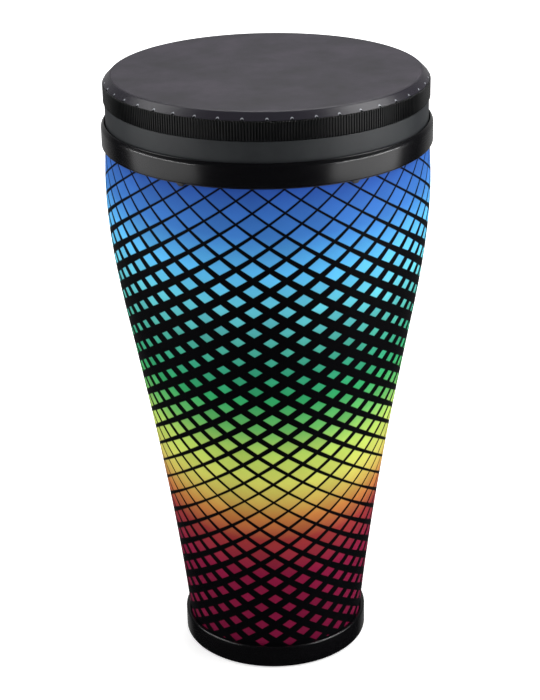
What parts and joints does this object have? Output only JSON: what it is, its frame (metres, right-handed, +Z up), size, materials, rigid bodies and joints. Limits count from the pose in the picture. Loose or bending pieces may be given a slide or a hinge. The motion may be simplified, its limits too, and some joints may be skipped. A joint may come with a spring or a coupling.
{
  "type": "timbal drum",
  "caption": "Tall conical hand drum with a printed shell, a pre-tuned suede-like head on a ribbed hoop, a twist collar that locks the head, and a foot ring.",
  "frame": {"origin": "on the drum's axis, at the height of the floor it stands on", "axes": "+Z up along the drum's axis, from foot to head; +X to the right and -Y towards a viewer at the front"},
  "size_m": [0.3208, 0.3208, 0.61],
  "materials": {
    "lacquered_fibre": "lacquered moulded fibre",
    "printed_cloth": "printed, matte",
    "foot_gloss": "gloss black",
    "tread_rubber": "matte",
    "black_moulding": "satin black",
    "seat_rubber": "matte",
    "collar_gloss": "gloss black",
    "grey_moulding": "satin charcoal grey",
    "hoop_moulding": "satin black",
    "ribbed_moulding": "ribbed, satin black",
    "hoop_steel": "rolled",
    "screw_steel": "zinc plated",
    "suede_film": "suede-like coated film"
  },
  "bodies": {
    "drum_body": {"shell": "lacquered_fibre", "printed_wrap": "printed_cloth", "foot_ring": "foot_gloss", "foot_tread": "tread_rubber", "neck_ring": "black_moulding", "collar_retainer": "black_moulding", "seat_gasket": "seat_rubber", "retainer_screw_1": "screw_steel", "retainer_screw_2": "screw_steel", "retainer_screw_3": "screw_steel", "retainer_screw_4": "screw_steel", "retainer_screw_5": "screw_steel", "retainer_screw_6": "screw_steel"},
    "twist_collar": {"lock_collar": "collar_gloss"},
    "head_unit": {"drumhead_film": "suede_film", "head_hoop": "hoop_moulding", "hoop_band": "ribbed_moulding", "tension_hoop": "hoop_steel", "head_ring": "grey_moulding"}
  },
  "joints": [
    {"name": "collar_twist", "type": "hinge", "parent": "drum_body", "child": "twist_collar", "pos_m": [0, 0, 0.5419], "axis": [0, 0, 1], "range_deg": [0, 33.7]},
    {"name": "head_lift", "type": "slide", "parent": "drum_body", "child": "head_unit", "axis": [0, 0, 1], "range_m": [0, 0.08]}
  ]
}
